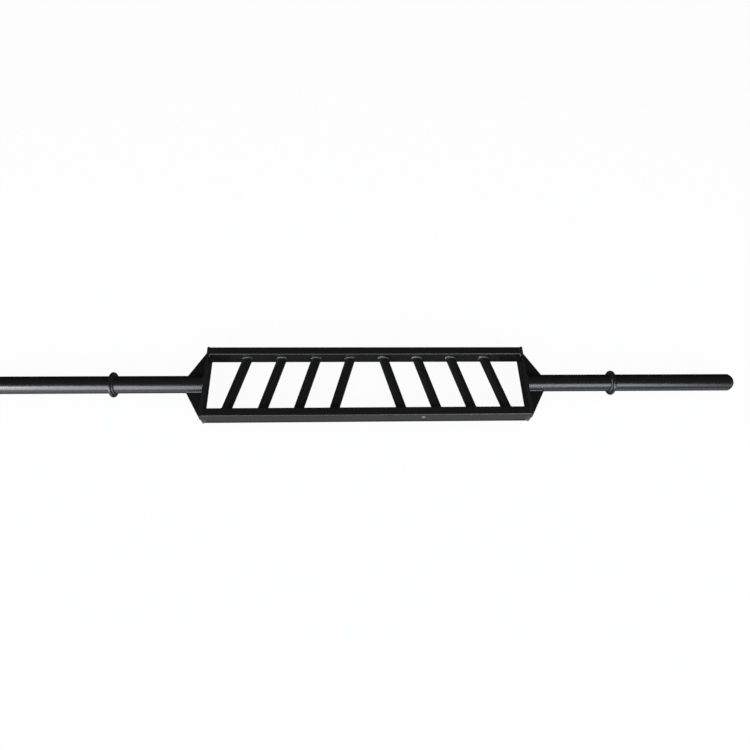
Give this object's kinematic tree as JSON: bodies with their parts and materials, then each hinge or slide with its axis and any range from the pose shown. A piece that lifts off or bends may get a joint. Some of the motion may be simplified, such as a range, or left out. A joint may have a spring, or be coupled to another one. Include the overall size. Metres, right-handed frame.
{
  "type": "swiss bar",
  "caption": "Multi-grip barbell: a ladder frame of two rails with slanted neutral hand grips, and a fixed plate sleeve with collar at each end.",
  "frame": {"origin": "on the sleeve axis at mid-length, in the mid plane of the ladder frame, which is the centre of the bounding box", "axes": "+X along the bar towards the right sleeve, +Y from the front rail to the rear rail, +Z normal to the ladder frame; the grips' front ends (-Y) lean away from the middle"},
  "size_m": [2.21, 0.2228, 0.0726],
  "materials": {
    "rail_coat": "satin black powder coat",
    "plate_coat": "satin black powder coat",
    "grip_coat": "satin black powder coat",
    "sleeve_coat": "satin black powder coat",
    "collar_coat": "satin black powder coat",
    "gusset_coat": "satin black powder coat",
    "weld_coat": "satin black powder coat",
    "cap_plastic": "black moulded plastic"
  },
  "bodies": {
    "root": {"front_rail": "rail_coat", "rear_rail": "rail_coat", "left_end_plate": "plate_coat", "right_end_plate": "plate_coat", "grip_1": "grip_coat", "grip_2": "grip_coat", "grip_3": "grip_coat", "grip_4": "grip_coat", "grip_5": "grip_coat", "grip_6": "grip_coat", "grip_7": "grip_coat", "grip_8": "grip_coat", "left_sleeve": "sleeve_coat", "right_sleeve": "sleeve_coat", "left_collar": "collar_coat", "right_collar": "collar_coat", "left_front_gusset": "gusset_coat", "left_rear_gusset": "gusset_coat", "right_front_gusset": "gusset_coat", "right_rear_gusset": "gusset_coat", "grip_1_front_weld": "weld_coat", "grip_1_rear_weld": "weld_coat", "grip_2_front_weld": "weld_coat", "grip_2_rear_weld": "weld_coat", "grip_3_front_weld": "weld_coat", "grip_3_rear_weld": "weld_coat", "grip_4_front_weld": "weld_coat", "grip_4_rear_weld": "weld_coat", "grip_5_front_weld": "weld_coat", "grip_5_rear_weld": "weld_coat", "grip_6_front_weld": "weld_coat", "grip_6_rear_weld": "weld_coat", "grip_7_front_weld": "weld_coat", "grip_7_rear_weld": "weld_coat", "grip_8_front_weld": "weld_coat", "grip_8_rear_weld": "weld_coat", "left_sleeve_upper_weld": "weld_coat", "left_sleeve_lower_weld": "weld_coat", "right_sleeve_upper_weld": "weld_coat", "right_sleeve_lower_weld": "weld_coat", "left_collar_weld": "weld_coat", "right_collar_weld": "weld_coat", "left_front_gusset_upper_weld": "weld_coat", "left_front_gusset_lower_weld": "weld_coat", "left_rear_gusset_upper_weld": "weld_coat", "left_rear_gusset_lower_weld": "weld_coat", "right_front_gusset_upper_weld": "weld_coat", "right_front_gusset_lower_weld": "weld_coat", "right_rear_gusset_upper_weld": "weld_coat", "right_rear_gusset_lower_weld": "weld_coat", "left_front_rail_weld": "weld_coat", "left_rear_rail_weld": "weld_coat", "right_front_rail_weld": "weld_coat", "right_rear_rail_weld": "weld_coat", "left_end_cap": "cap_plastic", "right_end_cap": "cap_plastic"}
  },
  "joints": []
}
